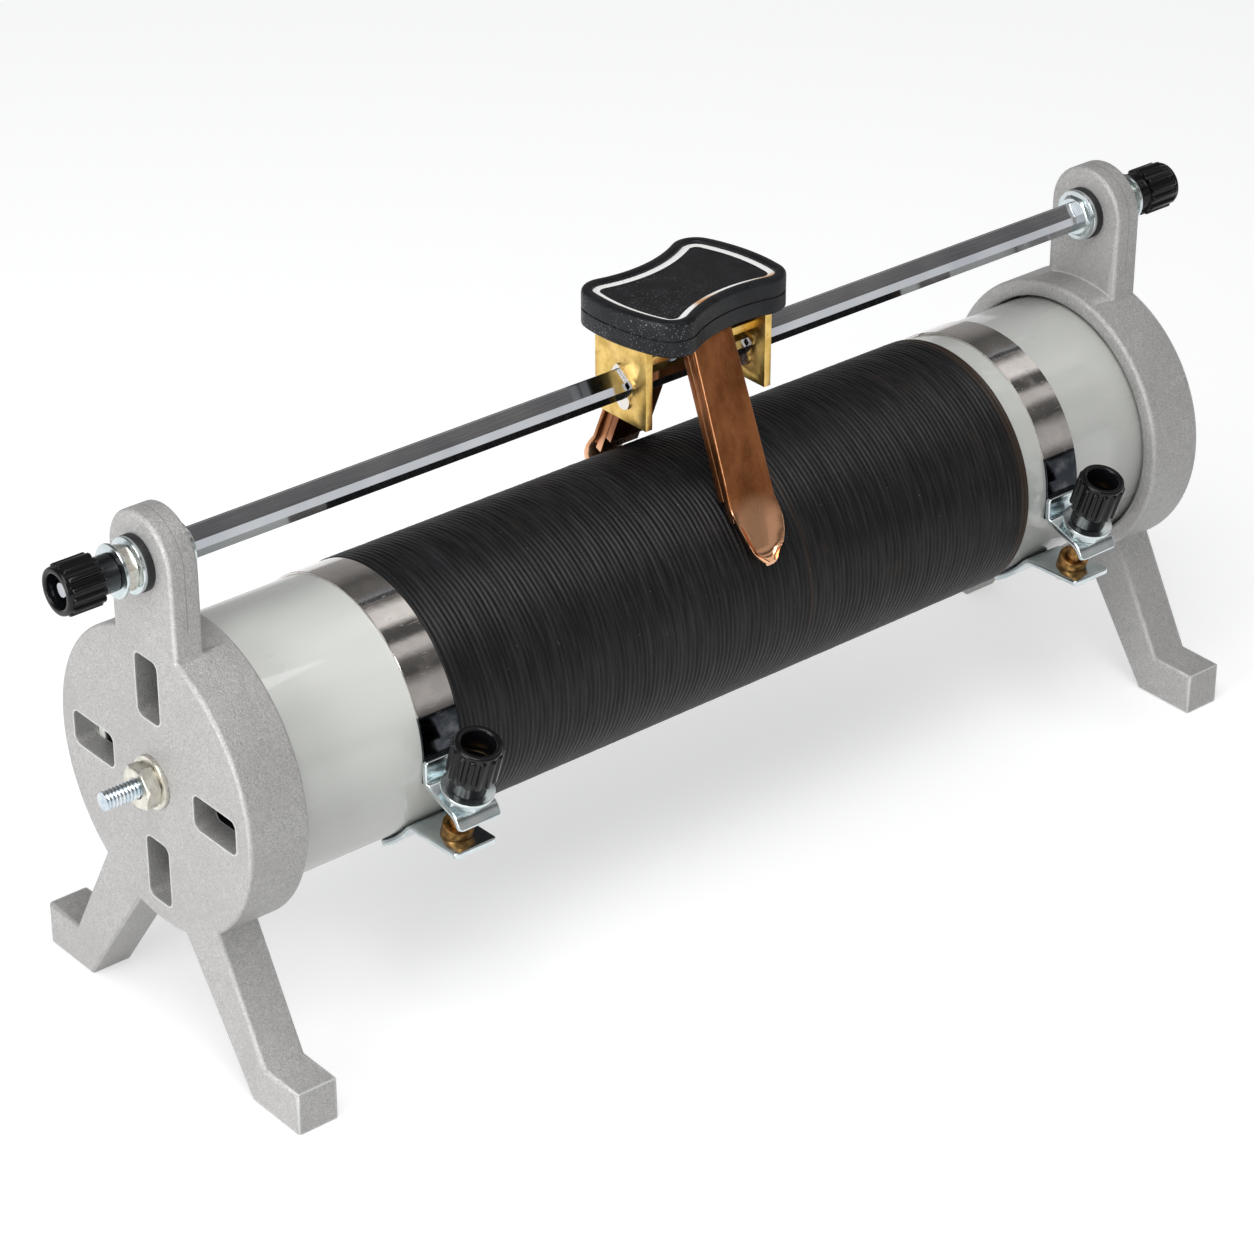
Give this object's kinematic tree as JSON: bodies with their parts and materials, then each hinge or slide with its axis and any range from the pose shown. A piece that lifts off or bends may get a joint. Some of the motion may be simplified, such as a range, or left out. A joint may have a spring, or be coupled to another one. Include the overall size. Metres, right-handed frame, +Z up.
{
  "type": "sliding rheostat",
  "caption": "Laboratory sliding rheostat: wire-wound ceramic tube on cast end brackets, with a sliding contact on a square rod and ribbed screw terminals.",
  "frame": {"origin": "on the bench plane under the middle of the whole object's box", "axes": "+X along the tube to the end with the bare strip beside the band, +Z up, -Y towards the terminals"},
  "size_m": [0.457, 0.1372, 0.1965],
  "materials": {
    "cast_aluminium": "fettled casting, tumbled",
    "glazed_ceramic": null,
    "resistance_wire": "oxidised wire, satin",
    "zinc_plated_steel": "zinc plated",
    "bright_steel_bar": "bright plated",
    "nickel_band": "bright nickel strip",
    "black_bakelite": "black moulding",
    "brass": "aged, lightly brushed",
    "copper_spring": "copper alloy spring strip, tarnished",
    "bright_liner": "bright liner",
    "knob_black": "satin black moulding",
    "white_inlay": "white filled line",
    "cap_black": "glossy black moulding",
    "insert_brass": "machined"
  },
  "bodies": {
    "frame": {"left_end_bracket": "cast_aluminium", "right_end_bracket": "cast_aluminium", "ceramic_tube": "glazed_ceramic", "resistance_winding": "resistance_wire", "tie_rod": "zinc_plated_steel", "tie_rod_washers": "zinc_plated_steel", "tie_rod_nuts": "zinc_plated_steel", "slider_rod": "bright_steel_bar", "rod_collars": "zinc_plated_steel", "inner_insulators": "black_bakelite", "insulating_bushes": "black_bakelite", "rod_washers": "zinc_plated_steel", "rod_nuts": "zinc_plated_steel", "left_contact_band": "nickel_band", "right_contact_band": "nickel_band", "left_upper_ear": "zinc_plated_steel", "right_upper_ear": "zinc_plated_steel", "left_lower_ear": "zinc_plated_steel", "right_lower_ear": "zinc_plated_steel", "clamp_screws": "brass", "clamp_collars": "brass", "terminal_nuts": "zinc_plated_steel"},
    "slider": {"slider_saddle": "brass", "rod_guides": "bright_liner", "outer_contact_leaf": "copper_spring", "middle_contact_leaf": "copper_spring", "inner_contact_leaf": "copper_spring", "leaf_rivets": "copper_spring", "slider_knob": "knob_black", "knob_inlay": "white_inlay", "knob_screws": "brass"},
    "left_rod_washer": {"left_rod_captive_washer": "zinc_plated_steel"},
    "left_rod_cap": {"left_rod_terminal_cap": "cap_black", "left_rod_cap_insert": "insert_brass"},
    "right_rod_washer": {"right_rod_captive_washer": "zinc_plated_steel"},
    "right_rod_cap": {"right_rod_terminal_cap": "cap_black", "right_rod_cap_insert": "insert_brass"},
    "left_band_washer": {"left_band_captive_washer": "zinc_plated_steel"},
    "left_band_cap": {"left_band_terminal_cap": "cap_black", "left_band_cap_insert": "insert_brass"},
    "right_band_washer": {"right_band_captive_washer": "zinc_plated_steel"},
    "right_band_cap": {"right_band_terminal_cap": "cap_black", "right_band_cap_insert": "insert_brass"}
  },
  "joints": [
    {"name": "slider_slide", "type": "slide", "parent": "frame", "child": "slider", "axis": [1, 0, 0], "range_m": [-0.1642, 0.1478]},
    {"name": "left_rod_lift", "type": "slide", "parent": "frame", "child": "left_rod_washer", "axis": [-1, 0, 0], "range_m": [0, 0.003]},
    {"name": "left_rod_turn", "type": "hinge", "parent": "left_rod_washer", "child": "left_rod_cap", "pos_m": [-0.2082, 0.00088, 0.168], "axis": [-1, 0, 0], "range_deg": [0, 1080]},
    {"name": "right_rod_lift", "type": "slide", "parent": "frame", "child": "right_rod_washer", "axis": [1, 0, 0], "range_m": [0, 0.003]},
    {"name": "right_rod_turn", "type": "hinge", "parent": "right_rod_washer", "child": "right_rod_cap", "pos_m": [0.2082, 0.00088, 0.168], "axis": [1, 0, 0], "range_deg": [0, 1080]},
    {"name": "left_band_lift", "type": "slide", "parent": "frame", "child": "left_band_washer", "axis": [0, -0.309, 0.9511], "range_m": [0, 0.003]},
    {"name": "left_band_turn", "type": "hinge", "parent": "left_band_washer", "child": "left_band_cap", "pos_m": [-0.1245, -0.05492, 0.08684], "axis": [0, -0.309, 0.9511], "range_deg": [0, 1080]},
    {"name": "right_band_lift", "type": "slide", "parent": "frame", "child": "right_band_washer", "axis": [0, -0.309, 0.9511], "range_m": [0, 0.003]},
    {"name": "right_band_turn", "type": "hinge", "parent": "right_band_washer", "child": "right_band_cap", "pos_m": [0.1402, -0.05492, 0.08684], "axis": [0, -0.309, 0.9511], "range_deg": [0, 1080]}
  ],
  "couplings": [
    {"joint": "left_rod_lift", "follows": "left_rod_turn", "m_per_rad": 0.000159},
    {"joint": "right_rod_lift", "follows": "right_rod_turn", "m_per_rad": 0.000159},
    {"joint": "left_band_lift", "follows": "left_band_turn", "m_per_rad": 0.000159},
    {"joint": "right_band_lift", "follows": "right_band_turn", "m_per_rad": 0.000159}
  ]
}
